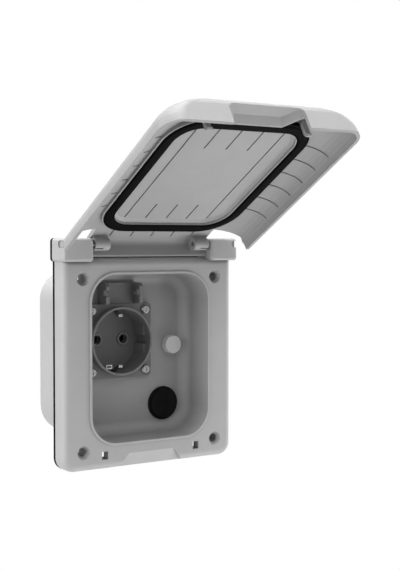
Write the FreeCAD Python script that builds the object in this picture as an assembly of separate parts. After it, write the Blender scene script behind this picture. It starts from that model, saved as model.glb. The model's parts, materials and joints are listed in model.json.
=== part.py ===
import FreeCAD, Part

import math
import os

# Caravan socket panel, in millimetres.
# The wall it is fixed to is the plane y = 0, the inside of the wall is +Y and +Z is up.
# The origin lies on the wall, in the middle of the four fixing screws.

V = FreeCAD.Vector
X_AXIS = V(1, 0, 0)
Y_AXIS = V(0, 1, 0)

# Flange and its sealing strip
GASKET_T = 2.5
GASKET_BAND = 5.0
FLANGE_T = 11.5
FLANGE_W = 120.0
FLANGE_LOW_Z = -63.5
FLANGE_TOP_Z = 64.2
FLANGE_CORNER_R = 8.0
FLANGE_TOP_CORNER_R = 2.0
FLANGE_EDGE_R = 4.5
FACE_T = 3.0
SKIRT_T = 2.6
FRONT_Y = -(GASKET_T + FLANGE_T)
BACK_Y = -GASKET_T

# Fixing screws through the flange
SCREW_DX = 94.0
SCREW_DZ = 104.0
SCREW_HOLE_R = 2.6
SCREW_HEAD_R = 4.3
SCREW_HEAD_DEPTH = 2.4
SCREW_BOSS_R = 5.6

# Latch slots and finger scoop in the lower edge
SLOT_X = 32.5
SLOT_Z = -55.0
SLOT_W = 4.2
SLOT_H = 4.8
SLOT_SLEEVE_T = 1.6
SLOT_SLEEVE_LEN = 5.8
SCOOP_LOW_W = 46.0
SCOOP_TOP_W = 32.0
SCOOP_H = 8.3
SCOOP_DEEP = 4.5

# Recess that holds the outlets
MOUTH_W = 82.8
MOUTH_LOW_Z = -48.1
MOUTH_TOP_Z = 54.4
MOUTH_R = 17.0
RECESS_DEPTH = 24.0
RECESS_DRAFT = 4.0
RECESS_FILLET_R = 7.0
RECESS_WALL = 2.2
BEAD_W = 1.5
BEAD_H = 0.8

# Hinge
BLOCK_W = 19.8
BLOCK_OVERHANG = 1.6
BLOCK_OUT_X = FLANGE_W / 2 + BLOCK_OVERHANG
BLOCK_IN_X = BLOCK_OUT_X - BLOCK_W
BLOCK_LOW_Z = 62.2
BLOCK_TOP_Z = 76.2
BLOCK_PROUD = 4.4
BLOCK_EDGE_R = 2.0
NOTCH_H = 4.2
NOTCH_LEN = 4.4
NOTCH_SIDE_LEN = 7.7
NOTCH_DEPTH = 2.2
NOTCH_SIDE_DEPTH = 0.8
HINGE_Z = 72.6
HINGE_Y = FRONT_Y
PIN_R = 1.5
PIN_IN_BLOCK = 9.0
PIN_IN_LUG = 8.5
PIN_RUN_CLEARANCE = 0.05
LUG_R = 3.8
LUG_W = 10.0
LUG_SIDE_GAP = 1.6
LUG_SLIT_W = 0.8
LUG_SLIT_LEN = 5.5
LUG_SLIT_TILT = -15.0
LUG_MOUTH_R = 2.5
LUG_MOUTH_DEPTH = 1.6

# Lid, drawn closed and then turned open about the hinge
LID_OPEN_DEG = 120.0
LID_OVERHANG = 5.0
LID_HALF_W = FLANGE_W / 2 + LID_OVERHANG
LID_LOW_Z = -67.0
LID_TOP_Z = 78.8
LID_CORNER_R = 12.0
LID_WALL = 2.0
LID_CROWN_WALL = 3.0
LID_RIM_GAP = 5.0
LID_DOME_START = 7.0
LID_PROUD = 8.0
LID_END_R = 6.0
LID_SIDE_POWER = 5.0
LID_BANDS = 8
LID_CUT_Z = 61.5
LID_SKIRT_END_Z = 63.8
LID_INNER_CORNER_R = 10.2
LID_TONGUE_GAP = 0.4
LID_SIDE_GAP = 0.35
LID_TONGUE_RIM = 5.3
GROOVE_W = 1.0
GROOVE_D = 0.7
GROOVE_STEP_X = 14.4
GROOVE_STEP_Z = 13.7
GROOVE_MID_Z = 0.0
GROOVES_LONG = 5
GROOVES_SIDE = 6
PAD_HALF_W = 24.5
PAD_LOW_Z = -24.0
PAD_TOP_Z = 34.0

# Pull handle in the free end of the lid
HANDLE_HALF_W = 33.0
HANDLE_BULGE = 5.0
POCKET_HALF_W = 24.8
POCKET_END_HALF_W = 17.0
POCKET_DEPTH = 12.8
POCKET_SIDE_DEPTH = 4.6
POCKET_WALL = 1.2
POCKET_ROOF_T = 4.4
POCKET_ROUND = 4.2
POCKET_SLOPE = 3.8
POCKET_EDGE_GAP = 0.3

# Latch hooks
HOOK_W = 3.2
HOOK_T = 2.2
HOOK_REACH = 6.0
HOOK_BARB = 0.8

# Lid seal
SEAL_HALF_W = 43.5
SEAL_HALF_H = 53.0
SEAL_MID_Z = 3.4
SEAL_R = 18.0
SEAL_W = 5.6
SEAL_GAP = 0.3
CHANNEL_W = 1.0
CHANNEL_SHORT = 0.9
SEAL_SIDE_GAP = 0.1

# Rear housing
HOUSING_SIDE_ROOM = 4.6
HOUSING_LOW_ROOM = 1.9
HOUSING_TOP_ROOM = 2.0
HOUSING_W = MOUTH_W + 2 * HOUSING_SIDE_ROOM
HOUSING_LOW_Z = MOUTH_LOW_Z - HOUSING_LOW_ROOM
HOUSING_TOP_Z = MOUTH_TOP_Z + HOUSING_TOP_ROOM
HOUSING_R = 19.5
HOUSING_DEPTH = 54.8
HOUSING_DRAFT = 1.4
HOUSING_WALL = 2.2
HOUSING_EDGE_R = 5.0
HOUSING_COLLAR_SHORT = 2.0
HOUSING_COLLAR_GAP = 0.5
HOUSING_COLLAR_WALL = 1.8
HOUSING_INNER_EDGE_R = 1.0
HOUSING_COLLAR_LAP = 1.2
KNOCKOUT_R = 10.2
KNOCKOUT_LINE = 0.8
KNOCKOUT_Y = 19.8
KNOCKOUT_Z = 20.0
PILLAR_INSET = 11.7
PILLAR_X = HOUSING_W / 2 - PILLAR_INSET
PILLAR_LOW_Z = -38.3
PILLAR_TOP_Z = 44.7
PILLAR_R = 3.5
HOUSING_SCREW_R = 1.5
HOUSING_SCREW_HEAD_R = 3.2
HOUSING_SCREW_HEAD_T = 2.0
HOUSING_SCREW_LEN = 12.0

# Earthed two-pin socket
SOCKET_X = -11.7
SOCKET_Z = 12.1
PLATE_W = 47.0
PLATE_R = 3.0
PLATE_T = 2.6
PLATE_PROUD = 3.6
SOCKET_GASKET_T = 1.0
COLLAR_R = 21.6
COLLAR_WALL = 1.5
COLLAR_PROUD = 5.2
POT_DEPTH = 17.5
POT_FLOOR_T = 2.4
PIN_PITCH = 19.0
PIN_HOLE_R = 2.9
PIN_RING_R = 4.1
PIN_RING_H = 1.0
GUIDE_SLOT_W = 5.4
GUIDE_FLAT_X = 17.6
GUIDE_START = 5.0
SOCKET_SCREW_PITCH = 38.0
SOCKET_SCREW_HEAD_R = 2.9
SOCKET_SCREW_HEAD_T = 1.8
SOCKET_SCREW_R = 1.5
SOCKET_SCREW_LEN = 12.0
EAR_SPAN = 26.0
EAR_T = 2.4
EAR_TOP = 12.9
EAR_REACH = 11.5
EAR_NOTCH_LOW = 4.6
EAR_NOTCH_TOP = 8.6
EAR_NOTCH_DEPTH = 3.4
EAR_CROWN_R = 2.0
EAR_STUB_R = 1.5
EAR_STUB_LEN = 1.2
EAR_BACK_T = 2.0
EAR_BACK_GAP = 0.9
CLIP_W = 2.7
CLIP_T = 0.9
CLIP_GAP = 1.0
CLIP_FRONT = 2.6
CLIP_NOSE_IN = 4.0
CLIP_NOSE_T = 1.6
CLIP_NOSE_LEN = 1.9
CLIP_BEND = 8.4
CARRIER_T = 15.0
CARRIER_W = 36.0
CARRIER_H = 26.0
CARRIER_WALL_GAP = 0.4
CONTACT_R = 3.2
CONTACT_BORE_R = 2.45
CONTACT_LEN = 16.0
CONTACT_SLIT = 0.8
TERMINAL_SCREW_R = 1.6
TERMINAL_SCREW_LEN = 7.0
CARRIER_SCREW_R = 1.4
CARRIER_SCREW_HEAD_R = 2.7
CARRIER_SCREW_HEAD_T = 1.8
SLOT_CUT_W = 0.7
SLOT_CUT_DEPTH = 0.7

# Aerial outlet with its cap
AERIAL_X = 27.6
AERIAL_Z = 7.9
AERIAL_R = 4.2
AERIAL_BORE_R = 3.3
AERIAL_STUB = 3.2
AERIAL_LEN = 17.0
AERIAL_PIN_R = 1.1
AERIAL_COLLAR_R = 7.0
AERIAL_NUT_FLATS = 12.0
AERIAL_NUT_T = 3.0
AERIAL_CAP_R = 5.85
AERIAL_CAP_LEN = 5.6
AERIAL_CAP_TOP_T = 1.2
AERIAL_CAP_EDGE = 0.4

# Round 12 V outlet with its cap
DC_X = 22.3
DC_Z = -30.0
DC_R = 8.4
DC_FLANGE_R = 10.75
DC_FLANGE_T = 1.4
DC_BORE_R = 6.1
DC_LEN = 30.0
DC_BASE_T = 4.0
DC_PIN_R = 2.0
DC_PIN_LEN = 14.0
DC_NUT_R = 10.5
DC_NUT_T = 4.0
DC_CAP_R = 9.6
DC_CAP_T = 1.6
DC_CAP_EDGE = 0.4
DC_PLUG_R = 5.8
DC_PLUG_LEN = 9.0

# Entries in the back of the rear housing
GROMMET_X = -18.0
GROMMET_Z = -22.0
GROMMET_R = 9.0
GROMMET_BORE_R = 4.5
AERIAL_GROMMET_X = 24.0
AERIAL_GROMMET_R = 7.0
AERIAL_GROMMET_BORE_R = 3.0
GROMMET_LIP = 1.6
GROMMET_NECK = 1.5

SEAT_GAP = 0.05
FIT_GAP = 0.3
CUT_OVER = 1.0


def span_box(x0, x1, y0, y1, z0, z1):
    """Box between two corners."""
    return Part.makeBox(x1 - x0, y1 - y0, z1 - z0, V(x0, y0, z0))


def rod_y(x, z, r, y0, y1):
    """Cylinder along Y from y0 to y1."""
    return Part.makeCylinder(r, y1 - y0, V(x, y0, z), Y_AXIS)


def cone_y(x, z, r0, r1, y0, y1):
    """Cone along Y with radius r0 at y0 and r1 at y1."""
    return Part.makeCone(r0, r1, y1 - y0, V(x, y0, z), Y_AXIS)


def rod_x(y, z, r, x0, x1):
    """Cylinder along X from x0 to x1."""
    return Part.makeCylinder(r, x1 - x0, V(x0, y, z), X_AXIS)


def rod_z(x, y, r, z0, z1):
    """Cylinder along Z from z0 to z1."""
    return Part.makeCylinder(r, z1 - z0, V(x, y, z0))


def lofted(wires, ruled):
    """Solid through the wires, always with its outside facing out."""
    solid = Part.makeLoft(wires, True, ruled)
    return solid if solid.Volume > 0 else solid.reversed()


def corner_arc(cx, cz, r, start_deg, y):
    """Quarter arc in the plane y, turning from start_deg on."""
    def at(deg):
        a = math.radians(deg)
        return V(cx + r * math.cos(a), y, cz + r * math.sin(a))
    return Part.Arc(at(start_deg), at(start_deg + 45), at(start_deg + 90)).toShape()


def rounded_wire(x0, x1, z0, z1, r, y, r_top=None):
    """Rectangle with round corners in the plane y; the upper pair may differ."""
    rt = r if r_top is None else r_top
    arcs = [
        corner_arc(x1 - r, z0 + r, r, -90, y),
        corner_arc(x1 - rt, z1 - rt, rt, 0, y),
        corner_arc(x0 + rt, z1 - rt, rt, 90, y),
        corner_arc(x0 + r, z0 + r, r, 180, y),
    ]
    edges = []
    for i, arc in enumerate(arcs):
        edges.append(arc)
        start = arc.valueAt(arc.LastParameter)
        after = arcs[(i + 1) % len(arcs)]
        end = after.valueAt(after.FirstParameter)
        if start.distanceToPoint(end) > 1e-6:
            edges.append(Part.makeLine(start, end))
    return Part.Wire(edges)


def rounded_prism(x0, x1, y0, y1, z0, z1, r, r_top=None):
    """Rounded rectangle drawn at y0 and pulled to y1."""
    return Part.Face(rounded_wire(x0, x1, z0, z1, r, y0, r_top)).extrude(V(0, y1 - y0, 0))


def centred_prism(cx, cz, w, h, r, y0, y1):
    """Rounded rectangle of size w by h about a centre."""
    return rounded_prism(cx - w / 2, cx + w / 2, y0, y1, cz - h / 2, cz + h / 2, r)


def polygon_prism(points, direction):
    """Closed polygon through the points, pulled along direction."""
    return Part.Face(Part.makePolygon(points + points[:1])).extrude(direction)


def edges_at_y(shape, y):
    """Edges that lie wholly in the plane y."""
    return [e for e in shape.Edges
            if abs(e.BoundBox.YMin - y) < 0.01 and abs(e.BoundBox.YMax - y) < 0.01]


def mirror_x(shape):
    """Copy on the other side of the middle plane."""
    return shape.mirror(V(0, 0, 0), X_AXIS)


def both_sides(shape):
    """The shape and its mirror image."""
    return [shape, mirror_x(shape)]


def save(name, shape):
    """Write one sub-part."""
    shape.exportStep("parts/" + name + ".step")


# Planes along Y that several pieces share
RECESS_BACK_Y = FRONT_Y + RECESS_DEPTH
RECESS_REAR_Y = RECESS_BACK_Y + RECESS_WALL
PLATE_FRONT_Y = RECESS_BACK_Y - PLATE_PROUD
PLATE_BACK_Y = PLATE_FRONT_Y + PLATE_T
SOCKET_SEAT_Y = PLATE_BACK_Y + SOCKET_GASKET_T
COLLAR_FRONT_Y = PLATE_FRONT_Y - COLLAR_PROUD
POT_FLOOR_Y = COLLAR_FRONT_Y + POT_DEPTH
POT_BACK_Y = POT_FLOOR_Y + POT_FLOOR_T
HOUSING_INNER_BACK_Y = HOUSING_DEPTH - HOUSING_WALL
LID_RIM_Y = -LID_RIM_GAP
LID_DOME_Y = -LID_DOME_START
LID_FRONT_Y = FRONT_Y - LID_PROUD
LID_INNER_Y = LID_FRONT_Y + LID_CROWN_WALL
SEAL_FACE_Y = FRONT_Y - BEAD_H - SEAL_GAP
LUG_OUT_X = BLOCK_IN_X - LUG_SIDE_GAP
LUG_IN_X = LUG_OUT_X - LUG_W


def screw_places():
    """Centres of the fixing screws."""
    return [(sx * SCREW_DX / 2, sz * SCREW_DZ / 2) for sx in (-1, 1) for sz in (-1, 1)]


def socket_screw_places():
    """Centres of the four screws of the socket."""
    half = SOCKET_SCREW_PITCH / 2
    return [(SOCKET_X + sx * half, SOCKET_Z + sz * half) for sx in (-1, 1) for sz in (-1, 1)]


def pillar_places():
    """Centres of the pillars that carry the rear housing."""
    return [(sx * PILLAR_X, z) for sx in (-1, 1) for z in (PILLAR_LOW_Z, PILLAR_TOP_Z)]


def recess_form(grow, back_y):
    """Drafted recess, grown outwards by a wall, with its deep edge rounded."""
    taper = (back_y - FRONT_Y) * math.tan(math.radians(RECESS_DRAFT))
    half = MOUTH_W / 2 + grow
    front = rounded_wire(-half, half, MOUTH_LOW_Z - grow, MOUTH_TOP_Z + grow, MOUTH_R + grow, FRONT_Y)
    back = rounded_wire(-half + taper, half - taper, MOUTH_LOW_Z - grow + taper,
                        MOUTH_TOP_Z + grow - taper, MOUTH_R + grow - taper, back_y)
    body = lofted([front, back], True)
    return body.makeFillet(RECESS_FILLET_R + grow, edges_at_y(body, back_y))


def recess_outline(grow):
    """Sides of the recess's mouth, grown outwards: left, right, low, top and corner radius."""
    half = MOUTH_W / 2 + grow
    return -half, half, MOUTH_LOW_Z - grow, MOUTH_TOP_Z + grow, MOUTH_R + grow


def flange_plate():
    """Front plate of the frame, hollow behind, with its outer edge rounded."""
    half = FLANGE_W / 2
    plate = rounded_prism(-half, half, FRONT_Y, BACK_Y, FLANGE_LOW_Z, FLANGE_TOP_Z,
                          FLANGE_CORNER_R, FLANGE_TOP_CORNER_R)
    lower = [e for e in edges_at_y(plate, FRONT_Y) if e.BoundBox.ZMin < FLANGE_TOP_Z - 0.1]
    lower = [e for e in lower if e.BoundBox.ZMax < FLANGE_TOP_Z - 0.1
             or e.BoundBox.ZLength > FLANGE_TOP_CORNER_R + 1]
    plate = plate.makeFillet(FLANGE_EDGE_R, lower)
    hollow = rounded_prism(-half + SKIRT_T, half - SKIRT_T, FRONT_Y + FACE_T, BACK_Y + CUT_OVER,
                           FLANGE_LOW_Z + SKIRT_T, FLANGE_TOP_Z - SKIRT_T, FLANGE_CORNER_R - SKIRT_T)
    return plate.cut(hollow)


def flange_ribs():
    """Ribs behind the flange, from the basin out to the skirt."""
    half = FLANGE_W / 2 - SKIRT_T / 2
    low = FLANGE_LOW_Z + SKIRT_T / 2
    top = FLANGE_TOP_Z - SKIRT_T / 2
    y0 = FRONT_Y + FACE_T / 2
    t = SKIRT_T / 2 / 2
    ribs = [span_box(-half, half, y0, BACK_Y - SEAT_GAP, z - t, z + t) for z in (-26.0, 0.0, 26.0)]
    ribs += [span_box(x - t, x + t, y0, BACK_Y - SEAT_GAP, low, top) for x in (-20.0, 0.0, 20.0)]
    return ribs


def hinge_block():
    """Right hinge block of the frame with the bore for its pin."""
    block = rounded_prism(BLOCK_IN_X, BLOCK_OUT_X, FRONT_Y - BLOCK_PROUD, BACK_Y,
                          BLOCK_LOW_Z, BLOCK_TOP_Z, BLOCK_EDGE_R)
    block = block.makeFillet(BLOCK_EDGE_R * 0.9, edges_at_y(block, FRONT_Y - BLOCK_PROUD))
    root = span_box(BLOCK_IN_X, FLANGE_W / 2 - FLANGE_EDGE_R, FRONT_Y + FACE_T / 2, BACK_Y,
                    FLANGE_TOP_Z - SKIRT_T, BLOCK_LOW_Z + BLOCK_EDGE_R)
    return block.fuse(root)


def block_cuts():
    """Pin bore and stop notch of the right hinge block."""
    bore = rod_x(HINGE_Y, HINGE_Z, PIN_R, BLOCK_IN_X - CUT_OVER, BLOCK_IN_X + PIN_IN_BLOCK)
    y0 = FRONT_Y - BLOCK_PROUD
    r = NOTCH_H / 2
    front = span_box(BLOCK_OUT_X - NOTCH_LEN + r, BLOCK_OUT_X + CUT_OVER, y0 - CUT_OVER, y0 + NOTCH_DEPTH,
                     HINGE_Z - r, HINGE_Z + r)
    front = front.fuse(rod_y(BLOCK_OUT_X - NOTCH_LEN + r, HINGE_Z, r, y0 - CUT_OVER, y0 + NOTCH_DEPTH))
    side = span_box(BLOCK_OUT_X - NOTCH_SIDE_DEPTH, BLOCK_OUT_X + CUT_OVER, y0 - CUT_OVER,
                    y0 + NOTCH_SIDE_LEN - r, HINGE_Z - r, HINGE_Z + r)
    side = side.fuse(rod_x(y0 + NOTCH_SIDE_LEN - r, HINGE_Z, r, BLOCK_OUT_X - NOTCH_SIDE_DEPTH,
                           BLOCK_OUT_X + CUT_OVER))
    return [bore, front, side]


def slot_sleeves():
    """Collars that line the two latch slots."""
    w = SLOT_W / 2 + SLOT_SLEEVE_T
    h = SLOT_H / 2 + SLOT_SLEEVE_T
    return both_sides(span_box(SLOT_X - w, SLOT_X + w, FRONT_Y + FACE_T / 2, FRONT_Y + SLOT_SLEEVE_LEN,
                               SLOT_Z - h, SLOT_Z + h))


def mouth_bead():
    """Thin raised bead round the mouth of the recess."""
    half = MOUTH_W / 2 + BEAD_W
    outer = rounded_prism(-half, half, FRONT_Y - BEAD_H, FRONT_Y + FACE_T / 2, MOUTH_LOW_Z - BEAD_W,
                          MOUTH_TOP_Z + BEAD_W, MOUTH_R + BEAD_W)
    outer = outer.makeFillet(BEAD_H * 0.7, edges_at_y(outer, FRONT_Y - BEAD_H))
    return outer


def finger_scoop():
    """Sloped cut in the lower edge of the flange, with slanted sides."""
    top = FLANGE_LOW_Z + SCOOP_H
    spread = (SCOOP_LOW_W - SCOOP_TOP_W) / SCOOP_H / 2
    low = FLANGE_LOW_Z - SCOOP_H
    wide = SCOOP_LOW_W / 2 + spread * SCOOP_H
    front = FRONT_Y - CUT_OVER
    outline = [V(-SCOOP_TOP_W / 2, front, top), V(SCOOP_TOP_W / 2, front, top), V(wide, front, low), V(-wide, front, low)]
    prism = polygon_prism(outline, V(0, FLANGE_T + 2 * CUT_OVER, 0))
    rise = SCOOP_H / SCOOP_DEEP
    deep_y = FRONT_Y + SCOOP_DEEP + CUT_OVER
    profile = [V(-wide, front, top + rise * CUT_OVER), V(-wide, deep_y, FLANGE_LOW_Z - rise * CUT_OVER),
               V(-wide, deep_y, low - CUT_OVER), V(-wide, front, low - CUT_OVER)]
    return prism.common(polygon_prism(profile, V(2 * wide, 0, 0)))


def scoop_backing():
    """Wall behind the scoop that closes the flange there."""
    half = SCOOP_LOW_W / 2 + SKIRT_T
    return span_box(-half, half, FRONT_Y + FACE_T / 2, BACK_Y - SEAT_GAP, FLANGE_LOW_Z + SKIRT_T / 2,
                    FLANGE_LOW_Z + SCOOP_H + SKIRT_T)


def socket_opening():
    """Hole in the back wall for the pot, and the flat seat of the socket."""
    hole = rod_y(SOCKET_X, SOCKET_Z, COLLAR_R + FIT_GAP, SOCKET_SEAT_Y - CUT_OVER, RECESS_REAR_Y + CUT_OVER)
    grown = PLATE_W + 2 * FIT_GAP
    seat = centred_prism(SOCKET_X, SOCKET_Z, grown, grown, PLATE_R + FIT_GAP,
                         COLLAR_FRONT_Y, SOCKET_SEAT_Y)
    return [hole, seat]


def front_frame():
    """Flange, hinge blocks, recess and pillars: one moulding."""
    half = FLANGE_W / 2
    solid = flange_plate()
    solid = solid.fuse(flange_ribs() + slot_sleeves() + [scoop_backing(), mouth_bead(), recess_form(RECESS_WALL, RECESS_REAR_Y)])
    bosses = [rod_y(x, z, SCREW_BOSS_R, FRONT_Y + FACE_T / 2, BACK_Y - SEAT_GAP) for x, z in screw_places()]
    pillars = [rod_y(x, z, PILLAR_R, RECESS_BACK_Y - RECESS_FILLET_R, HOUSING_INNER_BACK_Y) for x, z in pillar_places()]
    solid = solid.fuse(bosses + pillars + both_sides(hinge_block()))
    cavity = recess_form(0.0, RECESS_BACK_Y)
    front_cut = rounded_prism(-MOUTH_W / 2, MOUTH_W / 2, FRONT_Y - BEAD_H - CUT_OVER, FRONT_Y,
                              MOUTH_LOW_Z, MOUTH_TOP_Z, MOUTH_R)
    solid = solid.cut([cavity, front_cut])
    cuts = socket_opening() + [finger_scoop()]
    for x, z in screw_places():
        cuts.append(rod_y(x, z, SCREW_HOLE_R, FRONT_Y - CUT_OVER, BACK_Y + CUT_OVER))
        cuts.append(cone_y(x, z, SCREW_HEAD_R, SCREW_HOLE_R, FRONT_Y, FRONT_Y + SCREW_HEAD_DEPTH))
    for sx in (-1, 1):
        x = sx * SLOT_X
        cuts.append(span_box(x - SLOT_W / 2, x + SLOT_W / 2, FRONT_Y - CUT_OVER, BACK_Y + CUT_OVER,
                             SLOT_Z - SLOT_H / 2, SLOT_Z + SLOT_H / 2))
    for cut in block_cuts():
        cuts += both_sides(cut)
    for x, z in socket_screw_places():
        cuts.append(rod_y(x, z, SOCKET_SCREW_R, SOCKET_SEAT_Y - CUT_OVER, RECESS_REAR_Y + CUT_OVER))
    for x, z in pillar_places():
        cuts.append(rod_y(x, z, HOUSING_SCREW_R, HOUSING_DEPTH - HOUSING_SCREW_LEN, HOUSING_DEPTH))
    cuts.append(rod_y(AERIAL_X, AERIAL_Z, AERIAL_R, RECESS_BACK_Y - CUT_OVER, RECESS_REAR_Y + CUT_OVER))
    cuts.append(rod_y(DC_X, DC_Z, DC_R, RECESS_BACK_Y - CUT_OVER, RECESS_REAR_Y + CUT_OVER))
    return solid.cut(cuts).removeSplitter()


def wall_gasket():
    """Sealing strip that follows the outline of the frame on the wall."""
    half = FLANGE_W / 2
    outer = rounded_prism(-half, half, BACK_Y, 0, FLANGE_LOW_Z, FLANGE_TOP_Z, FLANGE_CORNER_R, FLANGE_TOP_CORNER_R)
    outer = outer.fuse(rounded_prism(-BLOCK_OUT_X, BLOCK_OUT_X, BACK_Y, 0, BLOCK_LOW_Z, BLOCK_TOP_Z, BLOCK_EDGE_R))
    inner = rounded_prism(-half + GASKET_BAND, half - GASKET_BAND, BACK_Y - CUT_OVER, CUT_OVER,
                          FLANGE_LOW_Z + GASKET_BAND, FLANGE_TOP_Z - GASKET_BAND, FLANGE_CORNER_R - 1)
    return outer.cut(inner).removeSplitter()


def housing_form(grow, y0, y1):
    """Drafted outline of the rear housing, grown outwards."""
    taper = (y1 - y0) * math.tan(math.radians(HOUSING_DRAFT))
    half = HOUSING_W / 2 + grow
    front = rounded_wire(-half, half, HOUSING_LOW_Z - grow, HOUSING_TOP_Z + grow, HOUSING_R + grow, y0)
    back = rounded_wire(-half + taper, half - taper, HOUSING_LOW_Z - grow + taper,
                        HOUSING_TOP_Z + grow - taper, HOUSING_R + grow - taper, y1)
    return lofted([front, back], True)


def rear_housing():
    """Deep box behind the wall, open to the front."""
    outer = housing_form(0.0, BACK_Y, HOUSING_DEPTH)
    outer = outer.makeFillet(HOUSING_EDGE_R, edges_at_y(outer, HOUSING_DEPTH))
    inner = housing_form(-HOUSING_WALL, BACK_Y, HOUSING_INNER_BACK_Y)
    inner = inner.makeFillet(HOUSING_INNER_EDGE_R, edges_at_y(inner, HOUSING_INNER_BACK_Y))
    collar_y = RECESS_REAR_Y - HOUSING_COLLAR_SHORT
    near = recess_outline(RECESS_WALL + HOUSING_COLLAR_GAP + HOUSING_COLLAR_WALL)
    room = recess_outline(RECESS_WALL + HOUSING_COLLAR_GAP)
    outer = outer.fuse(rounded_prism(near[0], near[1], BACK_Y, collar_y, near[2], near[3], near[4]))
    body = outer.cut([inner, rounded_prism(room[0], room[1], BACK_Y - CUT_OVER, collar_y - HOUSING_COLLAR_LAP,
                                           room[2], room[3], room[4])])
    half = HOUSING_W / 2
    ring = rod_x(KNOCKOUT_Y, KNOCKOUT_Z, KNOCKOUT_R, -half - CUT_OVER, half + CUT_OVER)
    ring = ring.cut(rod_x(KNOCKOUT_Y, KNOCKOUT_Z, KNOCKOUT_R - KNOCKOUT_LINE, -half - 2 * CUT_OVER, half + 2 * CUT_OVER))
    ring = ring.cut(housing_form(-HOUSING_WALL / 2, BACK_Y, HOUSING_INNER_BACK_Y))
    cuts = [ring]
    for x, z in pillar_places():
        cuts.append(rod_y(x, z, HOUSING_SCREW_R + FIT_GAP, HOUSING_INNER_BACK_Y - CUT_OVER, HOUSING_DEPTH + CUT_OVER))
    cuts.append(rod_y(GROMMET_X, GROMMET_Z, GROMMET_R - GROMMET_NECK, HOUSING_INNER_BACK_Y - CUT_OVER,
                      HOUSING_DEPTH + CUT_OVER))
    cuts.append(rod_y(AERIAL_GROMMET_X, GROMMET_Z, AERIAL_GROMMET_R - GROMMET_NECK,
                      HOUSING_INNER_BACK_Y - CUT_OVER, HOUSING_DEPTH + CUT_OVER))
    return body.cut(cuts)


def pan_screw(x, z, seat_y, shank_r, head_r, head_t, length, facing):
    """Slotted screw along Y; facing -1 has its head to the front, +1 to the back."""
    head = rod_y(x, z, head_r, 0, head_t)
    top = [e for e in edges_at_y(head, 0)]
    head = head.makeChamfer(head_t * 0.4, top)
    slot = span_box(x - head_r, x + head_r, -CUT_OVER, SLOT_CUT_DEPTH, z - SLOT_CUT_W / 2, z + SLOT_CUT_W / 2)
    cross = span_box(x - SLOT_CUT_W / 2, x + SLOT_CUT_W / 2, -CUT_OVER, SLOT_CUT_DEPTH, z - head_r / 2, z + head_r / 2)
    screw = head.cut([slot, cross]).fuse(rod_y(x, z, shank_r, head_t, head_t + length))
    if facing > 0:
        screw = screw.mirror(V(0, 0, 0), Y_AXIS)
        screw.translate(V(0, seat_y + head_t, 0))
    else:
        screw.translate(V(0, seat_y - head_t, 0))
    return screw


def housing_screws():
    """Four screws through the back of the housing into the pillars."""
    return Part.makeCompound([
        pan_screw(x, z, HOUSING_DEPTH + SEAT_GAP, HOUSING_SCREW_R - SEAT_GAP, HOUSING_SCREW_HEAD_R,
                  HOUSING_SCREW_HEAD_T, HOUSING_SCREW_LEN - CUT_OVER, 1) for x, z in pillar_places()])


def grommet(x, z, r, bore_r):
    """Rubber entry seated in the back wall of the housing."""
    neck = rod_y(x, z, r - GROMMET_NECK - SEAT_GAP, HOUSING_INNER_BACK_Y - GROMMET_LIP, HOUSING_DEPTH + GROMMET_LIP)
    inner = rod_y(x, z, r, HOUSING_INNER_BACK_Y - GROMMET_LIP, HOUSING_INNER_BACK_Y - SEAT_GAP)
    outer = cone_y(x, z, r, r - GROMMET_LIP, HOUSING_DEPTH + SEAT_GAP, HOUSING_DEPTH + GROMMET_LIP)
    bore = rod_y(x, z, bore_r, HOUSING_INNER_BACK_Y - 2 * GROMMET_LIP, HOUSING_DEPTH + 2 * GROMMET_LIP)
    return neck.fuse([inner, outer]).cut(bore)


def hinge_pin():
    """Right hinge pin."""
    pin = rod_x(HINGE_Y, HINGE_Z, PIN_R, BLOCK_IN_X - LUG_SIDE_GAP - PIN_IN_LUG, BLOCK_IN_X + PIN_IN_BLOCK)
    ends = [e for e in pin.Edges if abs(e.BoundBox.XLength) < 0.01]
    return pin.makeChamfer(PIN_R / 4, ends)


def side_inset(y, start_y, front_y, half_w):
    """How far the lid's side has come in at y, from the rim to the crown."""
    h = max(0.0, (start_y - y) / (start_y - front_y))
    return half_w * (1 - (1 - h * h) ** (1 / LID_SIDE_POWER))


def end_inset(y, front_y, r):
    """How far the lid's ends have come in at y."""
    q = max(0.0, 1 - (y - front_y) / r)
    return r * (1 - math.sqrt(1 - q * q))


def lid_stations(front_y):
    """Heights of the sections from the rim to the crown, closer together where the shoulder bends."""
    heights = [LID_RIM_Y, LID_DOME_Y]
    for k in range(1, LID_BANDS + 1):
        share = math.sin(0.5 * math.pi * k / (LID_BANDS + 1))
        heights.append(LID_DOME_Y + share * (front_y - LID_DOME_Y))
    return heights


def lid_form(grow, front_y):
    """Domed outline of the closed lid; grow is minus the wall for the inside."""
    half = LID_HALF_W + grow
    heights = lid_stations(front_y)
    heights[0] += 0 if grow == 0 else CUT_OVER
    wires = []
    for y in heights:
        w = half - side_inset(y, LID_DOME_Y, front_y, half)
        e = end_inset(y, front_y, LID_END_R + grow)
        r = LID_CORNER_R if grow == 0 else LID_INNER_CORNER_R
        wires.append(rounded_wire(-w, w, LID_LOW_Z - grow + e, LID_TOP_Z + grow - e, r, y))
    return lofted(wires, True)


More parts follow.
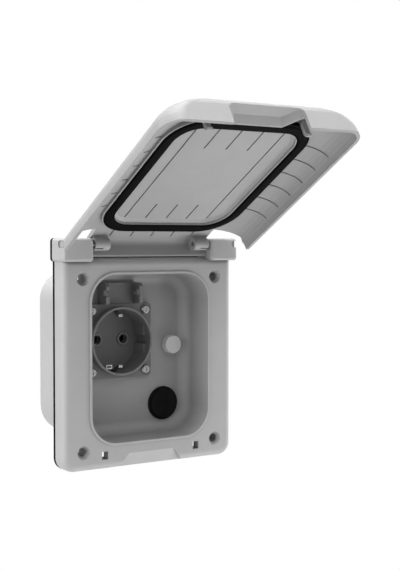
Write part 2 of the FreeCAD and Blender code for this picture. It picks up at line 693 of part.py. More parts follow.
def handle_section(y, front_y, grow):
    """Cosine bulge of the free end at y, closed by a line inside the lid."""
    e = end_inset(y, front_y, LID_END_R + grow)
    steps = 12
    points = []
    for i in range(steps + 1):
        x = HANDLE_HALF_W * (2 * i / steps - 1)
        bulge = HANDLE_BULGE * (0.5 + 0.5 * math.cos(math.pi * x / HANDLE_HALF_W))
        points.append(V(x, y, LID_LOW_Z - grow + e - bulge))
    curve = Part.BSplineCurve()
    curve.interpolate(points)
    inner_z = LID_LOW_Z + LID_END_R + LID_WALL
    a = V(HANDLE_HALF_W, y, inner_z)
    b = V(-HANDLE_HALF_W, y, inner_z)
    return Part.Wire([curve.toShape(), Part.makeLine(points[-1], a), Part.makeLine(a, b), Part.makeLine(b, points[0])])


def handle_form():
    """Outward bulge of the free end, the same height as the lid."""
    return lofted([handle_section(y, LID_FRONT_Y, 0.0) for y in lid_stations(LID_FRONT_Y)], True)


def pocket_outline(share, y, grow):
    """Plan of the pocket at y; share runs from 0 at its roof to 1 where its slopes end."""
    lack = 1 - share
    half = POCKET_HALF_W + grow - POCKET_ROUND * (1 - math.sqrt(1 - lack * lack))
    end_half = POCKET_END_HALF_W + grow / 2 - POCKET_SLOPE / 2 * lack
    end_z = LID_LOW_Z + POCKET_DEPTH + grow - POCKET_SLOPE * lack
    lean = (POCKET_DEPTH - POCKET_SIDE_DEPTH) / (POCKET_HALF_W - POCKET_END_HALF_W)
    side_z = end_z - lean * (half - end_half)
    mouth_z = LID_LOW_Z - HANDLE_BULGE - CUT_OVER
    right = [V(end_half, y, end_z), V(half, y, side_z), V(half, y, mouth_z)]
    left = [V(-p.x, p.y, p.z) for p in reversed(right)]
    return Part.makePolygon(right + left + right[:1])


def pocket_form(grow, last_y):
    """Finger pocket of the handle: round under its roof, its inner walls sloping to the edge."""
    roof_y = LID_FRONT_Y + POCKET_ROOF_T - grow
    edge_y = FRONT_Y - POCKET_EDGE_GAP
    wires = [pocket_outline(t, roof_y + t * (edge_y - roof_y), grow) for t in (0.0, 0.12, 0.35, 0.65, 1.0)]
    if last_y > edge_y:
        wires.append(pocket_outline(1.0, last_y, grow))
    return lofted(wires, True)


def seal_ring(extra, y0, y1):
    """Ring of the seal's course, wider by extra on each side."""
    def band(offset):
        w = SEAL_HALF_W + offset
        h = SEAL_HALF_H + offset
        return rounded_prism(-w, w, y0, y1, SEAL_MID_Z - h, SEAL_MID_Z + h, SEAL_R + offset)
    return band(SEAL_W / 2 + extra).cut(band(-SEAL_W / 2 - extra))


def lid_grooves():
    """Fine grooves in the inner surface of the lid."""
    y0 = LID_INNER_Y - 1.0
    inner_w = LID_HALF_W - LID_WALL
    skin = lid_form(GROOVE_D - LID_WALL, LID_INNER_Y - GROOVE_D).cut(lid_form(-LID_WALL, LID_INNER_Y))
    strips = []
    for i in range(GROOVES_LONG):
        x = (i - (GROOVES_LONG - 1) / 2) * GROOVE_STEP_X
        strips.append(span_box(x - GROOVE_W / 2, x + GROOVE_W / 2, y0, FRONT_Y, SEAL_MID_Z - SEAL_HALF_H,
                               LID_TOP_Z - LID_END_R - LID_WALL))
    for i in range(GROOVES_SIDE):
        z = GROOVE_MID_Z + (i - (GROOVES_SIDE - 1) / 2) * GROOVE_STEP_Z
        for x0 in (SEAL_HALF_W, -inner_w - LID_WALL):
            strips.append(span_box(x0, x0 + inner_w + LID_WALL - SEAL_HALF_W, y0, LID_DOME_Y - 3.0,
                                   z - GROOVE_W / 2, z + GROOVE_W / 2))
    clear = span_box(-PAD_HALF_W, PAD_HALF_W, y0 - CUT_OVER, FRONT_Y + CUT_OVER, PAD_LOW_Z, PAD_TOP_Z)
    return skin.common(Part.makeCompound(strips)).cut(clear)


def latch_hook():
    """Right latch hook, standing from the lid into the frame's slot when shut."""
    x0 = SLOT_X - HOOK_W / 2
    z0 = SLOT_Z - HOOK_T / 2 + HOOK_BARB / 2
    tip_y = FRONT_Y + HOOK_REACH
    points = [
        V(x0, LID_INNER_Y - 1, z0), V(x0, tip_y, z0), V(x0, tip_y, z0 + HOOK_T / 2),
        V(x0, tip_y - HOOK_BARB * 2, z0 + HOOK_T), V(x0, LID_INNER_Y - 1, z0 + HOOK_T)]
    barb = [
        V(x0, tip_y, z0 + HOOK_T / 2), V(x0, tip_y, z0), V(x0, tip_y - 1.0, z0 - HOOK_BARB),
        V(x0, tip_y - 2.0, z0)]
    return polygon_prism(points, V(HOOK_W, 0, 0)).fuse(polygon_prism(barb, V(HOOK_W, 0, 0)))


def hinge_lug():
    """Right hinge lug of the lid, a barrel on a web, with a bore for the pin."""
    barrel = rod_x(HINGE_Y, HINGE_Z, LUG_R, LUG_IN_X, LUG_OUT_X)
    web = span_box(LUG_IN_X, LUG_OUT_X, LID_INNER_Y - 1, HINGE_Y, HINGE_Z - LUG_R * 0.6, HINGE_Z + LUG_R)
    top = span_box(LUG_IN_X, LUG_OUT_X, HINGE_Y - LUG_R, HINGE_Y + LUG_R * 0.6, HINGE_Z, LID_TOP_Z - LID_WALL / 2)
    return barrel.fuse([web, top])


def lug_cuts():
    """Bore and snap slit of the right lug."""
    bore = rod_x(HINGE_Y, HINGE_Z, PIN_R + PIN_RUN_CLEARANCE, LUG_IN_X - CUT_OVER, LUG_OUT_X + CUT_OVER)
    mouth = rod_x(HINGE_Y, HINGE_Z, LUG_MOUTH_R, LUG_OUT_X - LUG_MOUTH_DEPTH, LUG_OUT_X + CUT_OVER)
    slit = span_box(LUG_OUT_X - LUG_SLIT_LEN, LUG_OUT_X + CUT_OVER, HINGE_Y, HINGE_Y + LUG_R + CUT_OVER,
                    HINGE_Z - LUG_SLIT_W / 2, HINGE_Z + LUG_SLIT_W / 2)
    slit = slit.rotate(V(0, HINGE_Y, HINGE_Z), X_AXIS, LUG_SLIT_TILT)
    return [bore, mouth, slit]


def closed_lid():
    """Cover moulding in its closed place."""
    outer = lid_form(0.0, LID_FRONT_Y).fuse(handle_form())
    shell = outer.cut(lid_form(-LID_WALL, LID_INNER_Y)).cut(lid_grooves())
    shell = shell.fuse(pocket_form(POCKET_WALL, FRONT_Y - POCKET_EDGE_GAP).common(outer))
    tongue = BLOCK_IN_X - LID_TONGUE_GAP
    cuts = [pocket_form(0.0, LID_RIM_Y + CUT_OVER)]
    skirt_x = BLOCK_OUT_X + LID_SIDE_GAP
    corner = span_box(tongue, skirt_x, LID_FRONT_Y - CUT_OVER, CUT_OVER, LID_CUT_Z, LID_TOP_Z + CUT_OVER)
    side = span_box(skirt_x - CUT_OVER, LID_HALF_W + CUT_OVER, LID_FRONT_Y - CUT_OVER, CUT_OVER, LID_SKIRT_END_Z,
                    LID_TOP_Z + CUT_OVER)
    cuts += both_sides(corner) + both_sides(side)
    cuts.append(span_box(-tongue - CUT_OVER, tongue + CUT_OVER, HINGE_Y + LID_TONGUE_RIM, CUT_OVER,
                         LID_CUT_Z + 4, LID_TOP_Z + CUT_OVER))
    shell = shell.cut(cuts)
    extras = [seal_ring(CHANNEL_W + SEAL_SIDE_GAP, LID_INNER_Y - 0.5, SEAL_FACE_Y - CHANNEL_SHORT)]
    for part in (hinge_lug(), latch_hook()):
        extras += both_sides(part)
    shell = shell.fuse(extras)
    cuts = [seal_ring(SEAL_SIDE_GAP, LID_INNER_Y + 0.2, FRONT_Y)]
    for cut in lug_cuts():
        cuts += both_sides(cut)
    hook_zone = both_sides(latch_hook())
    cuts[0] = cuts[0].cut(hook_zone)
    return shell.cut(cuts)


def closed_seal():
    """Rubber ring of the lid, with a rounded pressing face."""
    ring = seal_ring(0.0, SEAL_FACE_Y, LID_INNER_Y + 0.25)
    return ring.makeFillet(SEAL_W * 0.3, edges_at_y(ring, SEAL_FACE_Y))


def opened(shape):
    """Turn a closed lid piece to the open rest place."""
    return shape.rotate(V(0, HINGE_Y, HINGE_Z), X_AXIS, -LID_OPEN_DEG)


def ear_profile(x, base_z, y_back):
    """Side outline of an ear: a foot, a notch open to the front and a round crown."""
    front = RECESS_BACK_Y - EAR_REACH
    top = SOCKET_Z + PLATE_W / 2
    crown_z = top + EAR_TOP
    low = top + EAR_NOTCH_LOW
    high = top + EAR_NOTCH_TOP
    return [
        V(x, y_back, base_z), V(x, front, base_z), V(x, front, low), V(x, front + EAR_NOTCH_DEPTH, low),
        V(x, front + EAR_NOTCH_DEPTH, high), V(x, front, high), V(x, front, crown_z - EAR_CROWN_R),
        V(x, front + EAR_CROWN_R, crown_z), V(x, y_back, crown_z)]


def ears():
    """Hinge ears above the socket, on a back panel of the faceplate."""
    top = SOCKET_Z + PLATE_W / 2
    z0 = top - PLATE_R
    z1 = top + EAR_TOP
    y1 = RECESS_BACK_Y - EAR_BACK_GAP
    half = EAR_SPAN / 2
    back = span_box(SOCKET_X - half, SOCKET_X + half, y1 - EAR_BACK_T, y1, top + FIT_GAP, z1)
    link = span_box(SOCKET_X - half, SOCKET_X + half, y1 - EAR_BACK_T, PLATE_BACK_Y, z0, top + FIT_GAP + EAR_T)
    parts = [back, link]
    stub_y = RECESS_BACK_Y - EAR_REACH / 2
    stub_z = top + (EAR_NOTCH_LOW + EAR_NOTCH_TOP) / 2
    for sx in (-1, 1):
        x0 = SOCKET_X + sx * half - (EAR_T if sx > 0 else 0)
        parts.append(polygon_prism(ear_profile(x0, top + FIT_GAP, y1), V(EAR_T, 0, 0)))
        start = x0 - EAR_STUB_LEN if sx > 0 else x0
        parts.append(rod_x(stub_y, stub_z, EAR_STUB_R, start, start + EAR_T + EAR_STUB_LEN))
    return parts


def clip_height(sign):
    """Middle plane of an earth clip, above or below the pins."""
    return SOCKET_Z + sign * (COLLAR_R - COLLAR_WALL - CLIP_GAP)


def pot_guide(sx):
    """Flat inside one flank of the pot, with the groove that guides the plug."""
    start = COLLAR_FRONT_Y + GUIDE_START
    end = POT_FLOOR_Y - SEAT_GAP
    middle = (GUIDE_FLAT_X + COLLAR_R) / 2
    reach = (COLLAR_R - GUIDE_FLAT_X) / 2
    centre = SOCKET_X + sx * middle
    flat = span_box(centre - reach, centre + reach, start, end, SOCKET_Z - COLLAR_R, SOCKET_Z + COLLAR_R)
    flat = flat.common(rod_y(SOCKET_X, SOCKET_Z, COLLAR_R - COLLAR_WALL / 3, start, end))
    return flat.cut(span_box(centre - 2 * reach, centre + 2 * reach, start - CUT_OVER, end + CUT_OVER,
                             SOCKET_Z - GUIDE_SLOT_W / 2, SOCKET_Z + GUIDE_SLOT_W / 2))


def socket_faceplate():
    """Square plate and round pot wall in one dark moulding."""
    plate = centred_prism(SOCKET_X, SOCKET_Z, PLATE_W, PLATE_W, PLATE_R, PLATE_FRONT_Y, PLATE_BACK_Y)
    plate = plate.makeFillet(0.6, edges_at_y(plate, PLATE_FRONT_Y))
    pot = rod_y(SOCKET_X, SOCKET_Z, COLLAR_R, COLLAR_FRONT_Y, POT_BACK_Y)
    pot = pot.makeFillet(0.6, edges_at_y(pot, COLLAR_FRONT_Y))
    body = plate.fuse([pot] + ears())
    hollow_r = COLLAR_R - COLLAR_WALL
    hollow = rod_y(SOCKET_X, SOCKET_Z, hollow_r, COLLAR_FRONT_Y - CUT_OVER, POT_BACK_Y + CUT_OVER)
    body = body.cut(hollow).fuse([pot_guide(-1), pot_guide(1)])
    cuts = []
    for x, z in socket_screw_places():
        cuts.append(rod_y(x, z, SOCKET_SCREW_R + FIT_GAP, PLATE_FRONT_Y - CUT_OVER, PLATE_BACK_Y + CUT_OVER))
    return body.cut(cuts)


def pot_floor():
    """Round floor of the pot, open for the pin bushes and the earth clips."""
    radius = COLLAR_R - COLLAR_WALL - SEAT_GAP
    front = POT_FLOOR_Y - CUT_OVER
    back = POT_BACK_Y + CUT_OVER
    half = CLIP_W / 2 + FIT_GAP
    cuts = [rod_y(SOCKET_X, SOCKET_Z, CARRIER_SCREW_R, POT_FLOOR_Y + POT_FLOOR_T / 2, back)]
    for sign in (-1, 1):
        cuts.append(rod_y(SOCKET_X + sign * PIN_PITCH / 2, SOCKET_Z, PIN_RING_R + SEAT_GAP, front, back))
        near = clip_height(sign) - sign * (CLIP_T / 2 + FIT_GAP)
        far = SOCKET_Z + sign * COLLAR_R
        cuts.append(span_box(SOCKET_X - half, SOCKET_X + half, front, back, min(near, far), max(near, far)))
    return rod_y(SOCKET_X, SOCKET_Z, radius, POT_FLOOR_Y, POT_BACK_Y).cut(cuts)


def pin_bush(sx):
    """Bush in the pot floor with a raised rim round one pin hole."""
    x = SOCKET_X + sx * PIN_PITCH / 2
    front = POT_FLOOR_Y - PIN_RING_H
    bush = rod_y(x, SOCKET_Z, PIN_RING_R, front, POT_BACK_Y)
    return bush.cut(rod_y(x, SOCKET_Z, PIN_HOLE_R, front - CUT_OVER, POT_BACK_Y + CUT_OVER))


def socket_gasket():
    """Thin sealing sheet between the plate and its seat."""
    sheet = centred_prism(SOCKET_X, SOCKET_Z, PLATE_W, PLATE_W, PLATE_R, PLATE_BACK_Y, SOCKET_SEAT_Y)
    cuts = [rod_y(SOCKET_X, SOCKET_Z, COLLAR_R + FIT_GAP, PLATE_BACK_Y - CUT_OVER, SOCKET_SEAT_Y + CUT_OVER)]
    for x, z in socket_screw_places():
        cuts.append(rod_y(x, z, SOCKET_SCREW_R + FIT_GAP, PLATE_BACK_Y - CUT_OVER, SOCKET_SEAT_Y + CUT_OVER))
    return sheet.cut(cuts)


def socket_screws():
    """Four screws through the plate into the back wall."""
    return Part.makeCompound([
        pan_screw(x, z, PLATE_FRONT_Y - SEAT_GAP, SOCKET_SCREW_R - SEAT_GAP, SOCKET_SCREW_HEAD_R,
                  SOCKET_SCREW_HEAD_T, SOCKET_SCREW_LEN - 2, -1) for x, z in socket_screw_places()])


def clip_tongue(sign):
    """Spring tongue of the earth strap: along the pot's wall, then bent in to its nose."""
    front = COLLAR_FRONT_Y + CLIP_FRONT
    back = POT_BACK_Y + FIT_GAP + CLIP_T
    wall = clip_height(sign)
    nose = wall - sign * CLIP_NOSE_IN
    x = SOCKET_X - CLIP_W / 2
    outer = wall + sign * CLIP_T / 2
    inner = wall - sign * CLIP_T / 2
    shoulder = nose + sign * CLIP_NOSE_T
    points = [
        V(x, back, outer), V(x, front + CLIP_BEND, outer), V(x, front + CLIP_NOSE_LEN, shoulder),
        V(x, front, shoulder), V(x, front, nose), V(x, front + CLIP_NOSE_LEN, nose),
        V(x, front + CLIP_BEND, inner), V(x, back, inner)]
    return polygon_prism(points, V(CLIP_W, 0, 0))


def earth_clip():
    """Earth strap: a band behind the pot with a spring tongue at each end."""
    y_back = POT_BACK_Y + FIT_GAP
    band = span_box(SOCKET_X - CLIP_W, SOCKET_X + CLIP_W, y_back, y_back + CLIP_T, clip_height(-1), clip_height(1))
    strap = band.fuse([clip_tongue(-1), clip_tongue(1)])
    return strap.cut(rod_y(SOCKET_X, SOCKET_Z, CARRIER_SCREW_R + FIT_GAP, y_back - CUT_OVER, y_back + CLIP_T + CUT_OVER))


def carrier_y():
    """Front and back planes of the contact carrier."""
    front = POT_BACK_Y + FIT_GAP + CLIP_T + FIT_GAP
    return front, front + CARRIER_T


def terminal_places():
    """Places of the three clamp screws along the carrier."""
    front, back = carrier_y()
    y = front + CARRIER_T * 0.72
    return [(SOCKET_X + dx, y) for dx in (-PIN_PITCH / 2, 0.0, PIN_PITCH / 2)]


def socket_carrier():
    """Insulating block behind the pot."""
    front, back = carrier_y()
    block = centred_prism(SOCKET_X, SOCKET_Z, CARRIER_W, CARRIER_H, 3.0, front, back)
    block = block.makeFillet(1.0, edges_at_y(block, back))
    cuts = []
    for sx in (-1, 1):
        x = SOCKET_X + sx * PIN_PITCH / 2
        cuts.append(rod_y(x, SOCKET_Z, CONTACT_R + SEAT_GAP, front - CUT_OVER, POT_BACK_Y + FIT_GAP + CONTACT_LEN + FIT_GAP))
    cuts.append(rod_y(SOCKET_X, SOCKET_Z, CARRIER_SCREW_R + FIT_GAP, front - CUT_OVER, back + CUT_OVER))
    cuts.append(rod_y(SOCKET_X, SOCKET_Z, CARRIER_SCREW_HEAD_R + FIT_GAP, back - CARRIER_SCREW_HEAD_T, back + CUT_OVER))
    top = SOCKET_Z + CARRIER_H / 2
    for x, y in terminal_places():
        cuts.append(rod_z(x, y, TERMINAL_SCREW_R + 0.4, top - TERMINAL_SCREW_LEN - 1, top + CUT_OVER))
        cuts.append(rod_y(x, SOCKET_Z - CARRIER_H / 2 + 4.0, 1.8, back - 6.0, back + CUT_OVER))
    return block.cut(cuts)


def pin_contact(sx):
    """Slotted brass tube that grips one plug pin."""
    x = SOCKET_X + sx * PIN_PITCH / 2
    y0 = POT_BACK_Y + FIT_GAP
    tube = rod_y(x, SOCKET_Z, CONTACT_R, y0, y0 + CONTACT_LEN)
    tube = tube.cut(rod_y(x, SOCKET_Z, CONTACT_BORE_R, y0 - CUT_OVER, y0 + CONTACT_LEN - 2.0))
    slit = span_box(x - CONTACT_SLIT / 2, x + CONTACT_SLIT / 2, y0 - CUT_OVER, y0 + CONTACT_LEN * 0.6,
                    SOCKET_Z - CONTACT_R - CUT_OVER, SOCKET_Z + CONTACT_R + CUT_OVER)
    return tube.cut(slit)


def terminal_screws():
    """Clamp screws of the three terminals."""
    top = SOCKET_Z + CARRIER_H / 2
    screws = []
    for x, y in terminal_places():
        screw = rod_z(x, y, TERMINAL_SCREW_R, top - TERMINAL_SCREW_LEN, top)
        slot = span_box(x - TERMINAL_SCREW_R, x + TERMINAL_SCREW_R, y - SLOT_CUT_W / 2, y + SLOT_CUT_W / 2,
                        top - SLOT_CUT_DEPTH, top + CUT_OVER)
        screws.append(screw.cut(slot))
    return Part.makeCompound(screws)


def carrier_screw():
    """Screw that holds the carrier to the pot."""
    front, back = carrier_y()
    length = back - CARRIER_SCREW_HEAD_T - POT_FLOOR_Y - POT_FLOOR_T / 2 - SEAT_GAP
    return pan_screw(SOCKET_X, SOCKET_Z, back - CARRIER_SCREW_HEAD_T, CARRIER_SCREW_R - SEAT_GAP,
                     CARRIER_SCREW_HEAD_R, CARRIER_SCREW_HEAD_T, length - SEAT_GAP, 1)


def aerial_connector():
    """Threaded metal sleeve of the aerial outlet, with its collar behind the wall."""
    front = RECESS_BACK_Y - AERIAL_STUB
    sleeve = rod_y(AERIAL_X, AERIAL_Z, AERIAL_R - SEAT_GAP, front, front + AERIAL_LEN)
    collar = rod_y(AERIAL_X, AERIAL_Z, AERIAL_COLLAR_R, RECESS_REAR_Y + SEAT_GAP, RECESS_REAR_Y + 1.5)
    bore = rod_y(AERIAL_X, AERIAL_Z, AERIAL_BORE_R, front - CUT_OVER, front + AERIAL_LEN + CUT_OVER)
    return sleeve.fuse(collar).cut(bore)


def aerial_insulator():
    """Plastic core that carries the centre pin."""
    front = RECESS_BACK_Y - AERIAL_STUB
    core = rod_y(AERIAL_X, AERIAL_Z, AERIAL_BORE_R - SEAT_GAP, front + 7.0, front + 12.0)
    return core.cut(rod_y(AERIAL_X, AERIAL_Z, AERIAL_PIN_R + SEAT_GAP, front, front + AERIAL_LEN))


def aerial_pin():
    """Centre pin of the aerial outlet."""
    front = RECESS_BACK_Y - AERIAL_STUB
    pin = rod_y(AERIAL_X, AERIAL_Z, AERIAL_PIN_R, front + 1.5, front + AERIAL_LEN)
    return pin.makeChamfer(AERIAL_PIN_R * 0.5, edges_at_y(pin, front + 1.5))


def hex_prism(x, z, flats, y0, y1):
    """Hexagonal prism along Y."""
    r = flats / 2 / math.cos(math.radians(30))
    points = [V(x + r * math.cos(math.radians(60 * k)), y0, z + r * math.sin(math.radians(60 * k))) for k in range(6)]
    return polygon_prism(points, V(0, y1 - y0, 0))


def aerial_nut():
    """Hexagon nut behind the collar."""
    y0 = RECESS_REAR_Y + 1.5 + SEAT_GAP
    nut = hex_prism(AERIAL_X, AERIAL_Z, AERIAL_NUT_FLATS, y0, y0 + AERIAL_NUT_T)
    return nut.cut(rod_y(AERIAL_X, AERIAL_Z, AERIAL_R, y0 - CUT_OVER, y0 + AERIAL_NUT_T + CUT_OVER))


def aerial_cap():
    """Small round cap pushed over the aerial outlet."""
    y1 = RECESS_BACK_Y - FIT_GAP
    y0 = RECESS_BACK_Y - AERIAL_CAP_LEN
    cap = rod_y(AERIAL_X, AERIAL_Z, AERIAL_CAP_R, y0, y1)
    cap = cap.makeChamfer(AERIAL_CAP_EDGE, edges_at_y(cap, y0))
    return cap.cut(rod_y(AERIAL_X, AERIAL_Z, AERIAL_R + SEAT_GAP, y0 + AERIAL_CAP_TOP_T, y1 + CUT_OVER))


def dc_barrel():
    """Moulded body of the 12 V outlet, with its front flange."""
    front = RECESS_BACK_Y - DC_FLANGE_T
    flange = rod_y(DC_X, DC_Z, DC_FLANGE_R, front, RECESS_BACK_Y - SEAT_GAP)
    flange = flange.makeChamfer(DC_CAP_EDGE, edges_at_y(flange, front))
    body = flange.fuse(rod_y(DC_X, DC_Z, DC_R - SEAT_GAP, front + 0.5, RECESS_BACK_Y + DC_LEN))
    return body.cut(rod_y(DC_X, DC_Z, DC_BORE_R, front - CUT_OVER, RECESS_BACK_Y + DC_LEN - DC_BASE_T))


def dc_contact():
    """Centre contact of the 12 V outlet, with its tab behind."""
    floor = RECESS_BACK_Y + DC_LEN - DC_BASE_T
    tip = floor - DC_PIN_LEN
    pin = rod_y(DC_X, DC_Z, DC_PIN_R, tip, floor - SEAT_GAP)
    return pin.makeChamfer(DC_PIN_R * 0.5, edges_at_y(pin, tip))


def dc_nut():
    """Ring nut of the 12 V outlet."""
    y0 = RECESS_REAR_Y + SEAT_GAP
    nut = rod_y(DC_X, DC_Z, DC_NUT_R, y0, y0 + DC_NUT_T)
    grips = []
    for k in range(8):
        a = math.radians(45 * k)
        grips.append(rod_y(DC_X + DC_NUT_R * math.cos(a), DC_Z + DC_NUT_R * math.sin(a), 1.2, y0 - CUT_OVER,
                           y0 + DC_NUT_T + CUT_OVER))
    return nut.cut([rod_y(DC_X, DC_Z, DC_R, y0 - CUT_OVER, y0 + DC_NUT_T + CUT_OVER)] + grips)


def dc_cap():
    """Black round cap with a plug that enters the bore."""
    seat = RECESS_BACK_Y - DC_FLANGE_T - SEAT_GAP
    head = rod_y(DC_X, DC_Z, DC_CAP_R, seat - DC_CAP_T, seat)
    head = head.makeChamfer(DC_CAP_EDGE, edges_at_y(head, seat - DC_CAP_T))
    plug = rod_y(DC_X, DC_Z, DC_PLUG_R, seat - 0.5, seat + DC_PLUG_LEN)
    return head.fuse(plug)


def build():
    """Make every sub-part and write it."""
    os.makedirs("parts", exist_ok=True)
    save("front_frame", front_frame())
    save("wall_gasket", wall_gasket())
    save("rear_housing", rear_housing())
    save("housing_screws", housing_screws())
    save("cable_grommet", grommet(GROMMET_X, GROMMET_Z, GROMMET_R, GROMMET_BORE_R))
    save("aerial_grommet", grommet(AERIAL_GROMMET_X, GROMMET_Z, AERIAL_GROMMET_R, AERIAL_GROMMET_BORE_R))
    save("hinge_pin_right", hinge_pin())
    save("hinge_pin_left", mirror_x(hinge_pin()))
    save("lid", opened(closed_lid()))
    save("lid_seal", opened(closed_seal()))
    save("socket_faceplate", socket_faceplate())
    save("pot_floor", pot_floor())
    save("pin_bush_left", pin_bush(-1))
    save("pin_bush_right", pin_bush(1))
    save("socket_gasket", socket_gasket())
    save("socket_screws", socket_screws())
    save("earth_clip", earth_clip())
    save("socket_carrier", socket_carrier())
    save("pin_contact_left", pin_contact(-1))
    save("pin_contact_right", pin_contact(1))
    save("terminal_screws", terminal_screws())
    save("carrier_screw", carrier_screw())
    save("aerial_connector", aerial_connector())
    save("aerial_insulator", aerial_insulator())
    save("aerial_pin", aerial_pin())
    save("aerial_nut", aerial_nut())
    save("aerial_cap", aerial_cap())
    save("dc_barrel", dc_barrel())
    save("dc_contact", dc_contact())
    save("dc_nut", dc_nut())
    save("dc_cap", dc_cap())


build()
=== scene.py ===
import json
import math

import bpy
import bmesh
from mathutils import Matrix, Vector


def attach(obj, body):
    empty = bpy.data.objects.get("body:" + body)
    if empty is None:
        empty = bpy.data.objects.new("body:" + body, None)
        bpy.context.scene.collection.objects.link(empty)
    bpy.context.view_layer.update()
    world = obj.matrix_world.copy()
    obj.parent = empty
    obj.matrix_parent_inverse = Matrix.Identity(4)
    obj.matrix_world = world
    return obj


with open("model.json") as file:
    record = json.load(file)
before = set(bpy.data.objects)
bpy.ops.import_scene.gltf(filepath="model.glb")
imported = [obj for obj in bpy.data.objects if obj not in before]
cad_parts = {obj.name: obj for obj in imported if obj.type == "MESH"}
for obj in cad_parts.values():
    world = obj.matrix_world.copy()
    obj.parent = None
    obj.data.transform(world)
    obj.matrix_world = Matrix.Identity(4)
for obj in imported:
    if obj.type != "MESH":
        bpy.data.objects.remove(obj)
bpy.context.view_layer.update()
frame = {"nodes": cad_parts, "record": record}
NODES = frame["nodes"]
SLOTS = {part["node"]: part["material_slot"] for part in frame["record"]["subparts"]}

# Camera of the photograph, found from the sizes of the socket and the flange
CAMERA_PLACE = Vector((-0.35226, -0.60926, 0.07412))
CAMERA_YAW = 0.577813
CAMERA_PITCH = 0.038600
CAMERA_LENS = 70.877
CAMERA_NEAR = 0.01
CAMERA_FAR = 50.0
SENSOR_W = 36.0

# Sizes of the part in millimetres that the added pieces sit on
HINGE_Y = -14.0
HINGE_Z = 72.6
LID_OPEN = math.radians(120)
LID_INNER_Y = -19.0
SEAL_FACE_Y = -15.1
CHANNEL_SHORT = 0.9
SEAL_HALF_W = 43.5
SEAL_HALF_H = 53.0
SEAL_Z = 3.4
SEAL_CORNER = 18.0
SEAL_HALF = 2.8
SOCKET_X = -11.7
SOCKET_Z = 12.1
PIN_PITCH = 19.0
PIN_HOLE_R = 2.9
PIN_RING_R = 4.1
PIN_RING_H = 1.0
POT_FLOOR_Y = 18.7

# Lips of the seal, in millimetres: widths outside and inside its channel. The thin black lips are
# partly the seal's rubber and partly painted shade in the channel's gap
LIP_W = 1.35
LIP_LEFT = 0.1
LIP_IN = 0.95
LIP_IN_RIGHT = 0.4
LIP_T = 0.07
LIP_FOOT = 0.3

# Slope inside the channel, in millimetres: where it starts and ends, counted from the seal's middle
BED_NEAR = 4.0
BED_FAR = 6.6
BED_H = 1.8
BED_EDGE = 0.02
BED_SUNK = 0.3

# Pale rims of the pin entries, in millimetres
RIM_T = 0.06
RIM_CLEAR = 0.02
RIM_SUNK = 0.5
RIM_EDGE = 0.25

# Eyelet of the earth strap, in millimetres
EYELET_X = -19.9
EYELET_Z = -3.7
EYELET_Y = 3.8
EYELET_W = 4.2
EYELET_H = 2.5
EYELET_BAR = 0.7
EYELET_T = 0.5
STEM_HALF_W = 0.35
FOLD_GAP = 0.02
FOLD_BACK = 0.3
FOLD_DROP = 0.3
FOLD_LAP = 0.1

MM = 0.001
MERGE_BELOW = 1e-7
SMOOTH_BELOW = math.radians(28)

# Studio, in metres and watts
FLOOR_Z = -1.6
FLOOR_HALF = 6.0
FLOOR_GREY = 0.8
AMBIENT = 0.2
WHITE = (1.0, 1.0, 1.0, 1.0)

# Name, place, size and power of each lamp
LAMPS = [
    ("top", (0.05, -0.15, 1.5), 1.2, 25.0),
    ("top_front", (0.1, -0.9, 1.2), 1.2, 7.5),
    ("left", (-1.5, 0.1, 0.25), 1.4, 17.5),
    ("left_front", (-1.3, -0.7, 0.1), 1.4, 3.5),
    ("right_side", (1.5, -0.3, 0.0), 1.4, 6.5),
    ("low_right", (0.9, -0.5, -0.9), 1.2, 8.5),
    ("low", (0.0, -0.35, -1.2), 1.0, 3.0),
]

# Noise of the materials: waves in a metre for the tint, the gloss and the grain
PLASTIC_WAVES = (55.0, 420.0, 2600.0)
RUBBER_WAVES = (160.0, 900.0, 1800.0)
METAL_WAVES = (1400.0, (900.0, 60.0, 900.0), 1500.0)
PLASTIC_GRAIN = 0.00004
RUBBER_GRAIN = 0.00006
METAL_GRAIN = 0.00004
GRAIN_STRENGTH = 0.35
PLASTIC_EDGE = 0.0003
METAL_EDGE = 0.0002
PLASTIC_IOR = 1.5
RUBBER_SHINE = 0.04
# Occlusion level at and above which the painted corner shade stops
OPEN_SHARE = 0.95
SHADER_SAMPLES = 4


def grey(level):
    """Linear colour of a grey given as its display level from 0 to 255."""
    c = level / 255
    v = c / 12.92 if c <= 0.04045 else ((c + 0.055) / 1.055) ** 2.4
    return (v, v, v, 1.0)


def new_material(name):
    """Empty material with one principled shader."""
    mat = bpy.data.materials.new(name)
    mat.use_nodes = True
    tree = mat.node_tree
    tree.nodes.clear()
    out = tree.nodes.new("ShaderNodeOutputMaterial")
    bsdf = tree.nodes.new("ShaderNodeBsdfPrincipled")
    tree.links.new(bsdf.outputs["BSDF"], out.inputs["Surface"])
    return mat, tree, bsdf


def noise(tree, scale, detail):
    """Noise in object space."""
    coord = tree.nodes.new("ShaderNodeTexCoord")
    tex = tree.nodes.new("ShaderNodeTexNoise")
    tex.inputs["Scale"].default_value = scale
    tex.inputs["Detail"].default_value = detail
    tree.links.new(coord.outputs["Object"], tex.inputs["Vector"])
    return tex


def ramp(tree, source, low, high, start=0.3, end=0.7):
    """Map a value from start..end to low..high."""
    node = tree.nodes.new("ShaderNodeMapRange")
    node.inputs["From Min"].default_value = start
    node.inputs["From Max"].default_value = end
    node.inputs["To Min"].default_value = low
    node.inputs["To Max"].default_value = high
    tree.links.new(source, node.inputs["Value"])
    return node.outputs["Result"]


def scaled(colour, share):
    """Colour made lighter or darker, never above white."""
    return tuple(min(1.0, c * share) for c in colour[:3]) + (1.0,)


